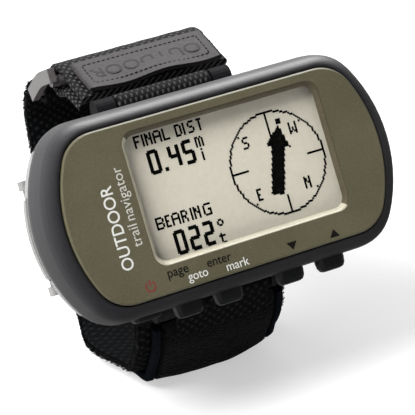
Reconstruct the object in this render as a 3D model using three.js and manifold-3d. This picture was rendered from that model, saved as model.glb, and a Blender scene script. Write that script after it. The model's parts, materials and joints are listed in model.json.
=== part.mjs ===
import * as THREE from 'three';
import { mergeVertices } from 'three/addons/utils/BufferGeometryUtils.js';
import Module from 'manifold-3d';

const wasm = await Module();
wasm.setup();

// ---------------------------------------------------------------------------
// Driving dimensions, in millimetres.
// Unit frame: X along the display, Y from the keys towards the top edge,
// Z out of the display, with Z = 0 on the flat back of the case.
// The whole unit is then tipped about X so that it stands on its strap.
// ---------------------------------------------------------------------------
const TILT = THREE.MathUtils.degToRad(60);
const GAP = 0.3;

// Case outlines: half length, half height. The ends are arcs of END_RADIUS,
// and the right half is drawn out by RIGHT_STRETCH.
const END_RADIUS = 32;
const RIGHT_STRETCH = 1.027;
const CORNER_RADIUS = 9.6;
const PLATE_CORNER = 8;
const SPLIT_Z = 12;
const SEAL_HALF = 0.3;
const BEZEL_RINGS = [
  [12.3, 40.4, 21.7], [14.2, 40.6, 21.8], [17, 40.3, 21.6], [19.4, 39.9, 21.3],
  [20.7, 39.3, 20.9], [21.6, 38.5, 20.3], [22.1, 37.7, 19.6], [22.4, 36.8, 18.75],
];
const BACK_RINGS = [
  [0, 34.4, 16.1], [0.9, 36.1, 17.6], [3, 37.9, 19.2], [6, 39.1, 20.4], [9, 39.9, 21.1], [11.7, 40.2, 21.5],
];
const WALL = 1.5;
const FRONT_WALL_Z = 19.9;
const PLATE_SEAT_Z = 21.1;

// Face plate and display.
const PLATE = { halfLength: 36.3, halfHeight: 18.3, z0: 21.3, z1: 23 };
const WINDOW = { x: 3.25, y: 1.85, width: 46.4, height: 28.9, corner: 3 };
const LENS = { z0: 20.3, z1: 21.7 };
const LCD = { width: 47.2, height: 30.6 };

// Keys along the bottom wall.
const KEY_Z = 15.4;
const KEYS = [
  ['power_button', -22.6, 0.9], ['page_button', -13, 2.7], ['enter_button', -3.6, 2.7],
  ['down_button', 11.2, 2.7], ['up_button', 21.2, 2.7],
];
const KEY_HALF = { x: 3.4, z: 2.1 };
const KEY_INNER_Y = -20.8;
const WALL_OUTER_Y = -21.75;

// Cells and battery door at the left end.
const CELL = { radius: 5.25, length: 44.5, pitch: 10.9, z: 7.5, x0: -34.9 };
const BAY = { x1: 10.6, halfHeight: 11.1, z0: 1.9, z1: 12.9 };
const DOOR_X = -35.2;
const DOOR_HINGE = { x: -35.9, z: 1.3, radius: 1.05, pin: 0.4 };
const EAR = { y0: 10.6, y1: 12.6 };
const LATCH = { halfHeight: 8.6, x: -37.2, z: 4.2, pin: 0.35, knuckle: 0.8, knuckleHalf: 4.8, cheekHalf: 6.2 };
const LATCH_PLATE = { z0: 5.6, z1: 10.9, proud: 0.35, depth: 0.9 };

// Strap bars, in the YZ plane.
const BAR = { y: 22.6, z: 2.2, radius: 0.9, half: 15.8 };
const LUG = { x0: 11.7, x1: 16.2, radius: 2.3 };
const EYE = { outer: 2.55, inner: 1.3 };
const RING = { y: 31.2, z: -24.4, bar: 1.2, left: [-19.7, -18.1], right: [18.6, 20.2] };
const RING_TOP = { left: [31.9, -12], right: [31.8, -14.5] };

// Socket on the back, with its cover.
const USB = { x: 25, recessX: 11.4, recessY: 9.4, capDepth: 1.1 };
const CAP = { x0: 20, x1: 30.1, z0: 0.1, z1: 0.9 };

// ---------------------------------------------------------------------------
// Materials
// ---------------------------------------------------------------------------
const material = (color, roughness, metalness = 0) =>
  new THREE.MeshStandardMaterial({ color, roughness, metalness });

const MATERIALS = {
  charcoal: material(0x3a3a3d, 0.5),
  backShell: material(0x2a2a2c, 0.6),
  door: material(0x8f8d8c, 0.45),
  olive: material(0x77725a, 0.55),
  lens: new THREE.MeshStandardMaterial({ color: 0xcfcab6, roughness: 0.1, transparent: true, opacity: 0.3 }),
  lcd: material(0xc8c4b2, 0.4),
  whitePlastic: material(0xd8d8d2, 0.6),
  board: material(0x1f4a2c, 0.5),
  ceramic: material(0xb9a98a, 0.6),
  black: material(0x151517, 0.6),
  rubber: material(0x1c1c1e, 0.85),
  steel: material(0xb8b8bb, 0.3, 1),
  cell: material(0x8a6a35, 0.35, 0.4),
  webbing: material(0x1d1e20, 0.95),
  pile: material(0x101112, 1),
  binding: material(0x26292c, 0.7),
  label: material(0x5b5657, 0.6),
  ring: material(0x6f6a6a, 0.3),
};

// ---------------------------------------------------------------------------
// Helpers
// ---------------------------------------------------------------------------
function toSolid(geometry) {
  const bare = geometry.index ? geometry.toNonIndexed() : geometry.clone();
  bare.deleteAttribute('normal');
  bare.deleteAttribute('uv');
  const merged = mergeVertices(bare, 1e-4);
  return new wasm.Manifold(new wasm.Mesh({
    numProp: 3,
    vertProperties: new Float32Array(merged.attributes.position.array),
    triVerts: new Uint32Array(merged.index.array),
  }));
}

function toGeometry(solid) {
  const mesh = solid.getMesh();
  const geometry = new THREE.BufferGeometry();
  geometry.setAttribute('position', new THREE.BufferAttribute(new Float32Array(mesh.vertProperties), 3));
  geometry.setIndex(new THREE.BufferAttribute(new Uint32Array(mesh.triVerts), 1));
  geometry.computeVertexNormals();
  return geometry;
}

const join = (...geometries) => geometries.map(toSolid).reduce((a, b) => a.add(b));
const cut = (solid, ...geometries) => geometries.map(toSolid).reduce((a, b) => a.subtract(b), solid);

// A box from its lowest to its highest corner.
function box(x0, x1, y0, y1, z0, z1) {
  const geometry = new THREE.BoxGeometry(x1 - x0, y1 - y0, z1 - z0);
  return geometry.translate((x0 + x1) / 2, (y0 + y1) / 2, (z0 + z1) / 2);
}

function cylinder(axis, radius, length, x, y, z, sides = 20) {
  const geometry = new THREE.CylinderGeometry(radius, radius, length, sides);
  if (axis === 'x') geometry.rotateZ(Math.PI / 2);
  if (axis === 'z') geometry.rotateX(Math.PI / 2);
  return geometry.translate(x, y, z);
}

// The case outline: long flat sides, bowed ends of END_RADIUS and rounded corners.
function outline(halfLength, halfHeight, corner, steps = 7) {
  const centre = halfLength - END_RADIUS;
  const cornerY = halfHeight - corner;
  const cornerX = centre + Math.sqrt((END_RADIUS - corner) ** 2 - cornerY ** 2);
  const meet = Math.atan2(cornerY, cornerX - centre);
  const quarter = [];
  for (let i = 0; i <= steps; i += 1) {
    const angle = (meet * i) / steps;
    quarter.push([centre + END_RADIUS * Math.cos(angle), END_RADIUS * Math.sin(angle)]);
  }
  for (let i = 1; i <= steps; i += 1) {
    const angle = meet + ((Math.PI / 2 - meet) * i) / steps;
    quarter.push([cornerX + corner * Math.cos(angle), cornerY + corner * Math.sin(angle)]);
  }
  const upperLeft = quarter.map(([x, y]) => [-x, y]).reverse();
  const lowerLeft = quarter.slice(1).map(([x, y]) => [-x, -y]);
  const lowerRight = quarter.slice(1).map(([x, y]) => [x, -y]).reverse();
  const ring = [...quarter, ...upperLeft, ...lowerLeft, ...lowerRight];
  return ring.map(([x, y]) => [x > 0 ? x * RIGHT_STRETCH : x, y]);
}

function stadium(halfX, halfZ, steps = 6) {
  const points = [];
  for (let side = 0; side < 2; side += 1) {
    for (let i = 0; i <= steps; i += 1) {
      const angle = -Math.PI / 2 + Math.PI * (side + i / steps);
      const shift = side === 0 ? halfX - halfZ : halfZ - halfX;
      points.push([shift + halfZ * Math.cos(angle), halfZ * Math.sin(angle)]);
    }
  }
  return points;
}

function roundedRectangle(width, height, radius, x = 0, y = 0) {
  const shape = new THREE.Shape();
  const [w, h] = [width / 2, height / 2];
  const corners = [[w, -h, 0], [w, h, 1], [-w, h, 2], [-w, -h, 3]];
  corners.forEach(([cx, cy, turn], i) => {
    const [sx, sy] = [Math.sign(cx), Math.sign(cy)];
    const from = ((turn - 1) * Math.PI) / 2;
    if (i === 0) shape.moveTo(x + cx - sx * radius, y + cy);
    shape.absarc(x + cx - sx * radius, y + cy - sy * radius, radius, from, from + Math.PI / 2, false);
  });
  return shape;
}

// A closed solid through matching rings of points, with flat ends.
function loft(rings) {
  const count = rings[0].length;
  const positions = rings.flat(2);
  const index = [];
  for (let r = 0; r < rings.length - 1; r += 1) {
    for (let i = 0; i < count; i += 1) {
      const [a, b] = [r * count + i, r * count + ((i + 1) % count)];
      index.push(a, b, b + count, a, b + count, a + count);
    }
  }
  const last = (rings.length - 1) * count;
  for (let i = 1; i < count - 1; i += 1) {
    index.push(0, i + 1, i, last, last + i, last + i + 1);
  }
  const geometry = new THREE.BufferGeometry();
  geometry.setAttribute('position', new THREE.Float32BufferAttribute(positions, 3));
  geometry.setIndex(index);
  return geometry;
}

const caseLoft = (rings, inset = 0, corner = CORNER_RADIUS) => loft(rings.map(([z, halfLength, halfHeight]) =>
  outline(halfLength - inset, halfHeight - inset, corner - inset / 2).map(([x, y]) => [x, y, z])));

const plateLoft = (z0, z1, grow) => loft([z0, z1].map((z) =>
  outline(PLATE.halfLength + grow, PLATE.halfHeight + grow, PLATE_CORNER).map(([x, y]) => [x, y, z])));

const extrude = (shape, depth, z, segments = 4) =>
  new THREE.ExtrudeGeometry(shape, { depth, bevelEnabled: false, curveSegments: segments }).translate(0, 0, z);

// A path of straight runs and round corners: each point is [y, z, corner radius].
function roundedPath(points) {
  const path = [new THREE.Vector2(points[0][0], points[0][1])];
  for (let i = 1; i < points.length - 1; i += 1) {
    const [previous, here, next] = [points[i - 1], points[i], points[i + 1]].map(([y, z]) => new THREE.Vector2(y, z));
    const before = previous.sub(here).normalize();
    const after = next.sub(here).normalize();
    const half = Math.acos(THREE.MathUtils.clamp(before.dot(after), -1, 1)) / 2;
    const radius = points[i][2];
    const reach = radius / Math.tan(half);
    const centre = before.clone().add(after).normalize().multiplyScalar(radius / Math.sin(half)).add(here);
    const start = before.multiplyScalar(reach).add(here).sub(centre);
    const turn = start.angleTo(after.multiplyScalar(reach).add(here).sub(centre));
    const sign = Math.sign(start.clone().cross(next.clone().multiplyScalar(reach).add(here).sub(centre))) || 1;
    const steps = Math.max(2, Math.ceil(turn / 0.3));
    for (let k = 0; k <= steps; k += 1) {
      path.push(start.clone().rotateAround(new THREE.Vector2(), (sign * turn * k) / steps).add(centre));
    }
  }
  const end = points[points.length - 1];
  path.push(new THREE.Vector2(end[0], end[1]));
  return path;
}

// A flat strap that follows a path in the YZ plane, from x0 to x1.
function strap(points, thickness, x0, x1) {
  const path = roundedPath(points);
  const sides = [[], []];
  path.forEach((point, i) => {
    const along = path[Math.min(i + 1, path.length - 1)].clone().sub(path[Math.max(i - 1, 0)]).normalize();
    const offset = new THREE.Vector2(-along.y, along.x).multiplyScalar(thickness / 2);
    sides[0].push(point.clone().add(offset));
    sides[1].push(point.clone().sub(offset));
  });
  return acrossX(new THREE.Shape([...sides[0], ...sides[1].reverse()]), x0, x1);
}

// Extrudes a shape drawn in the YZ plane along X.
function acrossX(shape, x0, x1) {
  const geometry = new THREE.ExtrudeGeometry(shape, { depth: x1 - x0, bevelEnabled: false, curveSegments: 10 });
  const toYZ = new THREE.Matrix4().set(0, 0, 1, x0, 1, 0, 0, 0, 0, 1, 0, 0, 0, 0, 0, 1);
  return geometry.applyMatrix4(toYZ);
}

const unit = new THREE.Group();

function add(name, geometry, look) {
  const body = geometry.isBufferGeometry ? geometry : toGeometry(geometry);
  const mesh = new THREE.Mesh(body, MATERIALS[look]);
  mesh.name = name;
  unit.add(mesh);
}

// ---------------------------------------------------------------------------
// Case shells, face plate and seal
// ---------------------------------------------------------------------------
const SCREWS = [[-29.5, 15.1], [-29.5, -15.1], [30.5, 14.6], [30.5, -14.6]];
const SCREW = { head: 1.8, shaft: 0.7, bore: 1, boss: 2.8, headZ: 1.9, length: 13 };

function keyHole(x, halfY) {
  const ring = (y) => stadium(KEY_HALF.x + GAP, KEY_HALF.z + GAP).map(([dx, dz]) => [x + dx, y, KEY_Z + dz]);
  return loft([ring(WALL_OUTER_Y + halfY), ring(WALL_OUTER_Y - halfY)]);
}

function upperHousing() {
  const hollow = [
    [12, 38.6, 19.7], [15, 39.4, 20.2], [17.4, 39.4, 20.3], [18.8, 38.6, 19.9], [FRONT_WALL_Z, 36.6, 18.6],
  ];
  const opening = roundedRectangle(WINDOW.width + 0.7, WINDOW.height + 0.7, WINDOW.corner, WINDOW.x, WINDOW.y);
  const shell = cut(
    toSolid(caseLoft(BEZEL_RINGS)),
    caseLoft(hollow),
    plateLoft(PLATE_SEAT_Z, 23, 0.3),
    extrude(opening, 4, 18.5),
    ...KEYS.map(([, x]) => keyHole(x, 3)),
  );
  const posts = SCREWS.map(([x, y]) => cut(
    toSolid(cylinder('z', 2.4, 6.6, x, y, 16.9, 16)),
    cylinder('z', SCREW.bore, 4, x, y, 14.5, 12),
  ));
  return posts.reduce((whole, post) => whole.add(post), shell);
}

function strapLugs() {
  const parts = [];
  for (const side of [1, -1]) {
    for (const end of [1, -1]) {
      const [x0, x1] = end > 0 ? [LUG.x0, LUG.x1] : [-LUG.x1, -LUG.x0];
      const [y0, y1] = side > 0 ? [15.5, BAR.y] : [-BAR.y, -15.5];
      parts.push(box(x0, x1, y0, y1, BAR.z - LUG.radius + 0.1, BAR.z + LUG.radius));
      parts.push(cylinder('x', LUG.radius, LUG.x1 - LUG.x0, (x0 + x1) / 2, side * BAR.y, BAR.z));
    }
  }
  return parts;
}

function lowerHousing() {
  const hollow = [
    [1.6, 34.2, 15.8], [3.2, 35.8, 17.2], [6, 37.2, 18.5], [9, 38.1, 19.3], [11.8, 38.5, 19.7],
  ];
  const bayWalls = box(DOOR_X + 0.2, BAY.x1 + 1.2, -BAY.halfHeight - 1.2, BAY.halfHeight + 1.2, 1, BAY.z1 + 0.9);
  const endWall = toSolid(caseLoft(BACK_RINGS)).intersect(toSolid(box(-35, -33.4, -22, 22, 0, 11.7)));
  const bosses = SCREWS.map(([x, y]) => cylinder('z', SCREW.boss, 12.6, x, y, 6.9, 18));
  let solid = cut(toSolid(caseLoft(BACK_RINGS)), caseLoft(hollow));
  solid = solid.add(endWall).add(join(bayWalls, ...bosses, ...strapLugs()));
  solid = cut(
    solid,
    box(-45, DOOR_X + 0.2, -30, 30, -1, 16),
    box(-40, BAY.x1, -BAY.halfHeight, BAY.halfHeight, BAY.z0, BAY.z1),
    cylinder('y', DOOR_HINGE.radius + GAP, 2 * EAR.y0 + 4.6, DOOR_HINGE.x, 0, DOOR_HINGE.z, 24),
    ...[1, -1].map((side) => cylinder('x', BAR.radius + GAP, 2 * BAR.half + 0.4, 0, side * BAR.y, BAR.z)),
    ...SCREWS.map(([x, y]) => cylinder('z', SCREW.bore, 30, x, y, 5, 12)),
    ...SCREWS.map(([x, y]) => cylinder('z', SCREW.head + GAP, 4, x, y, SCREW.headZ - 2, 16)),
    extrude(roundedRectangle(USB.recessX, USB.recessY, 1.2, USB.x, 0), 3, USB.capDepth - 3),
    box(USB.x - 2.4, USB.x + 2.4, -4.4, 4.4, -1, 3),
  );
  const ears = [1, -1].map((side) => {
    const y = side * (EAR.y0 + EAR.y1) / 2;
    const ear = join(
      cylinder('y', DOOR_HINGE.radius, EAR.y1 - EAR.y0, DOOR_HINGE.x, y, DOOR_HINGE.z, 24),
      box(DOOR_HINGE.x, -34.4, y - (EAR.y1 - EAR.y0) / 2, y + (EAR.y1 - EAR.y0) / 2, 0.25, 2.35),
    );
    return cut(ear, cylinder('y', DOOR_HINGE.pin + 0.25, 3, DOOR_HINGE.x, y, DOOR_HINGE.z, 16));
  });
  return ears.reduce((whole, ear) => whole.add(ear), solid);
}

function housingSeal() {
  const ring = (z, inset) => outline(40.1 - inset, 21.2 - inset, CORNER_RADIUS).map(([x, y]) => [x, y, z]);
  const [z0, z1] = [SPLIT_Z - SEAL_HALF + 0.12, SPLIT_Z + SEAL_HALF - 0.12];
  return cut(toSolid(loft([ring(z0, 0.25), ring(z1, 0.25)])), loft([ring(z0 - 1, 1.3), ring(z1 + 1, 1.3)]));
}

function facePlate() {
  const opening = roundedRectangle(WINDOW.width, WINDOW.height, WINDOW.corner, WINDOW.x, WINDOW.y);
  const rings = [[PLATE.z0, 0], [PLATE.z1 - 0.35, 0], [PLATE.z1, 0.35]].map(([z, inset]) =>
    outline(PLATE.halfLength - inset, PLATE.halfHeight - inset, PLATE_CORNER).map(([x, y]) => [x, y, z]));
  return cut(toSolid(loft(rings)), extrude(opening, 6, 19));
}

function buildCase() {
  add('upper_housing', upperHousing(), 'charcoal');
  add('lower_housing', lowerHousing(), 'backShell');
  add('housing_seal', housingSeal(), 'rubber');
  add('face_plate', facePlate(), 'olive');
  SCREWS.forEach(([x, y], i) => {
    const head = cylinder('z', SCREW.head, 1.2, x, y, 1.2, 16);
    const shaft = cylinder('z', SCREW.shaft, SCREW.length, x, y, 1.6 + SCREW.length / 2, 10);
    const slot = box(x - 1.3, x + 1.3, y - 0.25, y + 0.25, 0, 1.1);
    add(`housing_screw_${i + 1}`, cut(join(head, shaft), slot), 'steel');
  });
}

// ---------------------------------------------------------------------------
// Display stack
// ---------------------------------------------------------------------------
function buildDisplay() {
  const { x, y } = WINDOW;
  const lens = roundedRectangle(WINDOW.width - 0.3, WINDOW.height - 0.3, WINDOW.corner, x, y);
  add('display_window', extrude(lens, LENS.z1 - LENS.z0, LENS.z0), 'lens');
  const panel = (z0, z1, grow = 0) => box(
    x - LCD.width / 2 - grow, x + LCD.width / 2 + grow, y - LCD.height / 2 - grow, y + LCD.height / 2 + grow, z0, z1,
  );
  add('lcd_panel', panel(17.9, 19.5), 'lcd');
  add('backlight', panel(16.4, 17.6), 'whitePlastic');
  add('lcd_frame', cut(toSolid(panel(15.9, 19.4, 0.95)), panel(16.2, 25, 0.25), panel(10, 17, -2)), 'whitePlastic');
}

// ---------------------------------------------------------------------------
// Electronics
// ---------------------------------------------------------------------------
function usbConnector() {
  const shell = box(USB.x - 2, USB.x + 2, -3.9, 3.9, 1.9, 11);
  const mouth = box(USB.x - 1.55, USB.x + 1.55, -3.4, 3.4, 1, 10);
  const tongue = box(USB.x - 0.4, USB.x + 0.4, -2.6, 2.6, 3, 10.5);
  return cut(toSolid(shell), mouth).add(toSolid(tongue));
}

function mainBoard() {
  const notches = SCREWS.map(([x, y]) => cylinder('z', 2.9, 4, x, y, 14.6, 16));
  const edge = loft([14.3, 15.3].map((z) => outline(38, 19, 8).map(([x, y]) => [x, y, z])));
  const blank = toSolid(box(-36, 36.5, -17.2, 18, 14, 16)).intersect(toSolid(edge));
  return cut(blank, ...notches);
}

function buildElectronics() {
  add('main_board', mainBoard(), 'board');
  add('patch_antenna', box(29.2, 38 - 1, -7, 7, 15.6, 18.6), 'ceramic');
  add('processor', box(12.4, 22, -6, 6, 12.2, 14), 'steel');
  add('receiver_module', box(12.4, 21, 7, 15, 12.4, 14), 'steel');
  add('beeper', cylinder('z', 4.4, 2.8, -28.6, -7.5, 17, 24), 'black');
  add('compass_module', box(-34 + 1, -29, 0.5, 4.5, 15.6, 16.8), 'black');
  add('pressure_sensor', cylinder('z', 1.6, 1.5, -27, 8, 16.35, 16), 'steel');
  add('usb_connector', usbConnector(), 'steel');
  add('key_board', box(-28, 26.5, -18.6, -17.8, 12.9, 18), 'board');
  KEYS.forEach(([name, x]) => {
    const can = box(x - 1.8, x + 1.8, -19.8, -18.8, KEY_Z - 1.6, KEY_Z + 1.6);
    const plunger = cylinder('y', 0.8, 0.6, x, -19.85, KEY_Z, 12);
    add(name.replace('button', 'switch'), join(can, plunger), 'steel');
  });
}

// ---------------------------------------------------------------------------
// Keys
// ---------------------------------------------------------------------------
function keyCap(x, rise) {
  const sections = [
    [KEY_INNER_Y, 1], [WALL_OUTER_Y - 0.2 * rise, 1], [WALL_OUTER_Y - 0.62 * rise, 0.93],
    [WALL_OUTER_Y - 0.9 * rise, 0.72], [WALL_OUTER_Y - rise, 0.4],
  ];
  const ring = ([y, scale]) => stadium(KEY_HALF.x, KEY_HALF.z).map(([dx, dz]) =>
    [x + dx * (0.4 + 0.6 * scale), y, KEY_Z + dz * scale]);
  return loft(sections.map(ring));
}

function buildKeys() {
  KEYS.forEach(([name, x, rise]) => add(name, toSolid(keyCap(x, rise)), 'black'));
}

// ---------------------------------------------------------------------------
// Battery bay, cells, door and latch
// ---------------------------------------------------------------------------
function cell() {
  const { radius, length } = CELL;
  const profile = [
    [0, 0], [radius - 0.6, 0], [radius - 0.2, 0.3], [radius, 0.8], [radius, length - 1.8],
    [radius - 0.4, length - 1.2], [1.9, length - 1], [1.9, length], [0, length],
  ].map(([r, h]) => new THREE.Vector2(r, h));
  return new THREE.LatheGeometry(profile, 24).rotateZ(-Math.PI / 2);
}

function doorBody() {
  const { x, z, radius } = DOOR_HINGE;
  const shell = toSolid(caseLoft(BACK_RINGS));
  const nose = toSolid(box(x, -34, -30, 30, -1, z + radius));
  const barrel = toSolid(cylinder('y', radius, 30, x, 0, z, 24)).intersect(shell);
  const whole = shell.intersect(toSolid(box(-45, DOOR_X - 0.1, -30, 30, -1, 16))).subtract(nose).add(barrel);
  const recess = (side) => box(x - radius - GAP, -34, side * 11.6 - 1.3, side * 11.6 + 1.3, -1, z + radius + 0.6);
  const groove = cut(toSolid(box(-35.85, -30, -13, 13, 2.95, 11.25)), box(-40, -20, -11.2, 11.2, 4.25, 9.95));
  const solid = cut(
    whole.subtract(latchPocket()).add(latchCheeks()).subtract(groove),
    box(-36, -30, -9.8, 9.8, 4.9, 9.8),
    cylinder('y', DOOR_HINGE.pin + 0.25, 40, x, 0, z, 16),
    recess(1),
    recess(-1),
    cylinder('y', LATCH.pin + 0.25, 2 * LATCH.cheekHalf + 0.8, LATCH.x, 0, LATCH.z, 16),
  );
  return solid;
}

// The end of the lower shell, grown outwards, between two heights and two half heights.
function endSkin(grow, halfHeight, z0, z1) {
  return toSolid(caseLoft(BACK_RINGS, -grow)).intersect(toSolid(box(-50, -30, -halfHeight, halfHeight, z0, z1)));
}

// The pocket that the lever lies in, with room for its knuckle and arm to turn.
function latchPocket() {
  const { halfHeight, x, z, knuckle, knuckleHalf } = LATCH;
  const { z0, z1, depth } = LATCH_PLATE;
  const reach = halfHeight + GAP;
  const face = endSkin(3, reach, z0 - 0.4, z1 + 0.35).subtract(toSolid(caseLoft(BACK_RINGS, depth + GAP)));
  const turning = toSolid(box(-50, x + 0.2, -reach, reach, z - 0.45, z0));
  const well = toSolid(cylinder('y', knuckle + GAP, 2 * knuckleHalf + 0.7, x, 0, z, 20));
  const armRoom = toSolid(box(-50, x + 0.3, -knuckleHalf - 0.35, knuckleHalf + 0.35, z, z0 + 1.3));
  return face.add(turning).add(well).add(armRoom);
}

// Two cheeks beside the knuckle carry the lever's pin.
function latchCheeks() {
  const { x, z, knuckle, knuckleHalf, cheekHalf } = LATCH;
  return [1, -1].map((side) => {
    const middle = (side * (knuckleHalf + 0.35 + cheekHalf)) / 2;
    const width = cheekHalf - knuckleHalf - 0.35;
    return join(
      cylinder('y', knuckle, width, x, middle, z, 20),
      box(x, x + 1.1, middle - width / 2, middle + width / 2, z - knuckle, z + knuckle),
    );
  }).reduce((a, b) => a.add(b));
}

function doorLatch() {
  const { x, z, knuckle, knuckleHalf, halfHeight } = LATCH;
  const skin = endSkin(LATCH_PLATE.proud, halfHeight, LATCH_PLATE.z0, LATCH_PLATE.z1);
  const plate = skin.subtract(toSolid(caseLoft(BACK_RINGS, LATCH_PLATE.depth)));
  const arm = box(x - 1.9, x, -knuckleHalf, knuckleHalf, z, LATCH_PLATE.z0 + 0.9);
  const trim = toSolid(arm).intersect(toSolid(caseLoft(BACK_RINGS, 0.2)));
  return cut(
    plate.add(trim).add(toSolid(cylinder('y', knuckle, 2 * knuckleHalf, x, 0, z, 20))),
    cylinder('y', LATCH.pin + 0.25, 30, x, 0, z, 16),
  );
}

function doorSeal() {
  return cut(toSolid(box(-35.65, -35.15, -12.7, 12.7, 3.25, 10.95)), box(-40, -30, -11.5, 11.5, 4, 10.2));
}

function buildBattery() {
  [1, -1].forEach((side, i) => {
    const geometry = cell();
    if (side < 0) geometry.rotateY(Math.PI).translate(CELL.length, 0, 0);
    add(`battery_${i + 1}`, toSolid(geometry.translate(CELL.x0, (side * CELL.pitch) / 2, CELL.z)), 'cell');
    const y = (side * CELL.pitch) / 2;
    add(`cell_contact_${i + 1}`, box(BAY.x1 - 0.6, BAY.x1 - 0.3, y - 3.6, y + 3.6, 4, 11), 'steel');
  });
  add('battery_door', doorBody(), 'door');
  add('door_hinge_pin', cylinder('y', DOOR_HINGE.pin, 2 * EAR.y1, DOOR_HINGE.x, 0, DOOR_HINGE.z, 12), 'steel');
  add('door_seal', doorSeal(), 'rubber');
  add('contact_bridge', box(-35.75, -35.4, -9.5, 9.5, 5.2, 9.5), 'steel');
  add('door_latch', doorLatch(), 'door');
  add('latch_pin', cylinder('y', LATCH.pin, 2 * LATCH.cheekHalf, LATCH.x, 0, LATCH.z, 12), 'steel');
}

// ---------------------------------------------------------------------------
// Cover over the data socket
// ---------------------------------------------------------------------------
function buildSocketCap() {
  const plate = roundedRectangle(CAP.x1 - CAP.x0, 8.6, 1, (CAP.x0 + CAP.x1) / 2, 0);
  const lip = cut(
    toSolid(extrude(roundedRectangle(3.9, 7.9, 0.4, USB.x, 0), 0.5, 0.85)),
    extrude(roundedRectangle(2.9, 6.9, 0.3, USB.x, 0), 2, 1.0),
  );
  add('socket_cap', toSolid(extrude(plate, CAP.z1 - CAP.z0, CAP.z0)).add(lip), 'rubber');
}

// ---------------------------------------------------------------------------
// Wrist strap
// ---------------------------------------------------------------------------
const LONG_STRAP = [
  [-24.1, -3.5], [-28.8, -7.2, 10], [-35.9, -16.2, 2.5], [-24, -36.2, 5], [-16.6, -41.9, 8],
  [10, -43.4, 30], [28.8, -37, 11], [33.6, -29, 3], [32.4, -26.6],
];
const PAD = [[-26.2, -1.7], [-30.7, -5.3, 13], [-39.2, -16, 3.5], [-26.1, -38.6, 6], [-23.9, -40.1]];
const TOP_STRAP = [
  [24.2, -4.6], [28.6, -10.2, 8], [29.2, -17, 2.6], [35.2, -16.8, 2.6], [34.4, -11, 6], [25.6, -0.8],
];
const LABEL = [[27.04, 0.44], [33.9, -7.5]];
const HOOK_PATCH = [[25.9, -3.77], [29.5, -7.97]];
const LOWER_FOLD = [[-24.4, 2.1], [-28.9, -1.5]];
const UPPER_FOLD = [[23.4, 1.2], [24, -3.3]];

function eye(y, z, outer, inner) {
  const shape = new THREE.Shape();
  shape.absarc(y, z, outer, 0, 2 * Math.PI, false);
  const hole = new THREE.Path();
  hole.absarc(y, z, inner, 0, 2 * Math.PI, true);
  shape.holes.push(hole);
  return shape;
}

// A webbing fold that wraps a strap bar and ends in a sewn tail.
function anchorFold(side, tail, thickness) {
  const half = LUG.x0 - 0.4;
  const tailSolid = toSolid(strap(tail, thickness, -half, half));
  const loop = toSolid(acrossX(eye(side * BAR.y, BAR.z, EYE.outer, EYE.inner), -half, half));
  return cut(tailSolid.add(loop), cylinder('x', EYE.inner, 60, 0, side * BAR.y, BAR.z, 24));
}

function longStrap(halfWidth) {
  const band = toSolid(strap(LONG_STRAP, 2.6, -halfWidth, halfWidth));
  const loop = toSolid(acrossX(eye(RING.y, RING.z, 3.1, 1.6), -halfWidth, halfWidth));
  return cut(band.add(loop), cylinder('x', 1.6, 60, 0, RING.y, RING.z, 24));
}

// A round bar between two points.
function rod(from, to, radius, sides) {
  const [a, b] = [new THREE.Vector3(...from), new THREE.Vector3(...to)];
  const along = b.clone().sub(a);
  const turn = new THREE.Quaternion().setFromUnitVectors(new THREE.Vector3(0, 1, 0), along.clone().normalize());
  const geometry = new THREE.CylinderGeometry(radius, radius, along.length(), sides);
  return geometry.applyQuaternion(turn).translate(...a.add(b).multiplyScalar(0.5).toArray());
}

// The loop is longer at its left end, so its upper bar runs at a slant inside the fold.
function strapRing() {
  const { y, z, left, right } = RING;
  const leftArm = [[33.2, -9.9], [33.3, -17.6, 16], [30.9, -26]];
  const rightArm = [[31.4, -13.6], [31.9, -18.5, 14], [30.9, -26]];
  const [leftX, rightX] = [left, right].map(([a, b]) => (a + b) / 2);
  return join(
    strap(leftArm, 3.2, ...left),
    strap(rightArm, 2.8, ...right),
    rod([leftX, ...RING_TOP.left], [rightX, ...RING_TOP.right], RING.bar, 16),
    rod([leftX, y, z], [rightX, y, z], RING.bar, 16),
  );
}

function buildStrap() {
  [['top', 1], ['bottom', -1]].forEach(([name, side]) =>
    add(`strap_bar_${name}`, cylinder('x', BAR.radius, 2 * BAR.half, 0, side * BAR.y, BAR.z, 16), 'steel'));
  add('upper_fold', anchorFold(1, UPPER_FOLD, 2), 'webbing');
  add('lower_fold', anchorFold(-1, LOWER_FOLD, 1.1), 'webbing');
  add('long_strap', longStrap(17.7), 'webbing');
  add('strap_pad', toSolid(strap(PAD, 2.2, -13.9, 13.9)), 'pile');
  add('pad_binding_left', toSolid(strap(PAD, 2.2, -15.8, -14.2)), 'binding');
  add('pad_binding_right', toSolid(strap(PAD, 2.2, 14.2, 15.8)), 'binding');
  add('top_strap', toSolid(strap(TOP_STRAP, 2, -17.1, 18.3)), 'webbing');
  add('hook_patch', toSolid(strap(HOOK_PATCH, 0.8, -15.4, 16.6)), 'pile');
  add('label_tab', toSolid(strap(LABEL, 1.2, -15.2, 16.8)), 'label');
  add('strap_ring', strapRing(), 'ring');
}

buildCase();
buildDisplay();
buildElectronics();
buildKeys();
buildBattery();
buildSocketCap();
buildStrap();

// Stand the unit on the flat of its strap, with its bounding box centred on the origin.
const group = new THREE.Group();
group.add(unit);
unit.rotation.x = TILT;
unit.updateMatrixWorld(true);
const bounds = new THREE.Box3().setFromObject(unit, true);
const centre = bounds.getCenter(new THREE.Vector3());
unit.position.set(-centre.x, -centre.y, -bounds.min.z);

export default group;
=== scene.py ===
"""A wrist-worn navigation unit: looks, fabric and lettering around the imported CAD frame."""
import json
import math
import random

import bpy
from mathutils import Matrix, Vector, noise


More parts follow.
